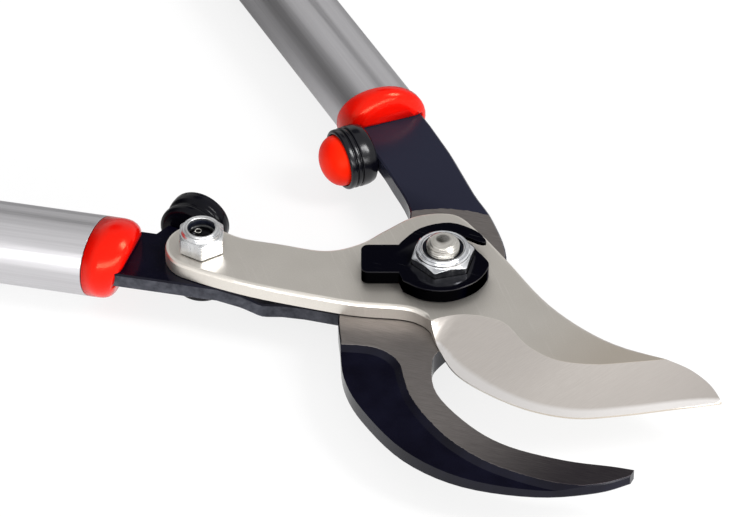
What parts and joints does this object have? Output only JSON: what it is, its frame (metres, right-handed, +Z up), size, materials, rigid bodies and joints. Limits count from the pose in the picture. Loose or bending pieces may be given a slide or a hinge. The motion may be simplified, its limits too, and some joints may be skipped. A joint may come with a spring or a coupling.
{
  "type": "bypass lopper",
  "caption": "Long-handled bypass lopper: a bolted cutting blade swings past a forged hook on two tubular handles, for cutting branches by hand.",
  "frame": {"origin": "on the pivot axis, on the underside of the pivot bolt's head, in the plane that the lopper lies on", "axes": "+X from the pivot towards the jaws along the bisector of the two handles at rest, +Z up along the pivot axis; the handle with the hook lies on the +Y side"},
  "size_m": [0.6457, 0.5755, 0.0368],
  "materials": {
    "ground_steel": "ground, satin",
    "black_paint": "glossy",
    "zinc": "bright zinc plate",
    "aluminium": "satin, drawn tube",
    "red_plastic": "glossy",
    "black_rubber": "semi-gloss",
    "red_rubber": "satin",
    "black_grip": "matt",
    "nylon": "matt",
    "bronze": "sintered, oiled"
  },
  "bodies": {
    "hook_side": {"hook": "black_paint", "hook_tube": "aluminium", "hook_collar": "red_plastic", "hook_tube_rivet": "aluminium", "hook_grip": "black_grip", "hook_end_cap": "red_plastic", "hook_bumper_body": "black_rubber", "hook_bumper_insert": "red_rubber", "hook_bumper_pin": "zinc", "pivot_bush": "bronze"},
    "blade_side": {"cutting_blade": "ground_steel", "blade_arm": "black_paint", "blade_tube": "aluminium", "blade_collar": "red_plastic", "blade_tube_rivet": "aluminium", "blade_grip": "black_grip", "blade_end_cap": "red_plastic", "blade_bumper_body": "black_rubber", "blade_bumper_insert": "red_rubber", "blade_bumper_pin": "zinc", "pivot_washer": "zinc", "pivot_nut_lock": "black_paint", "pivot_nut": "zinc", "pivot_nut_insert": "nylon", "pivot_bolt": "zinc", "tail_nut": "zinc", "tail_nut_insert": "nylon", "tail_bolt": "zinc"}
  },
  "joints": [
    {"name": "pivot", "type": "hinge", "parent": "hook_side", "child": "blade_side", "pos_m": [0, 0, 0], "axis": [0, 0, 1], "range_deg": [-33, 40]}
  ]
}
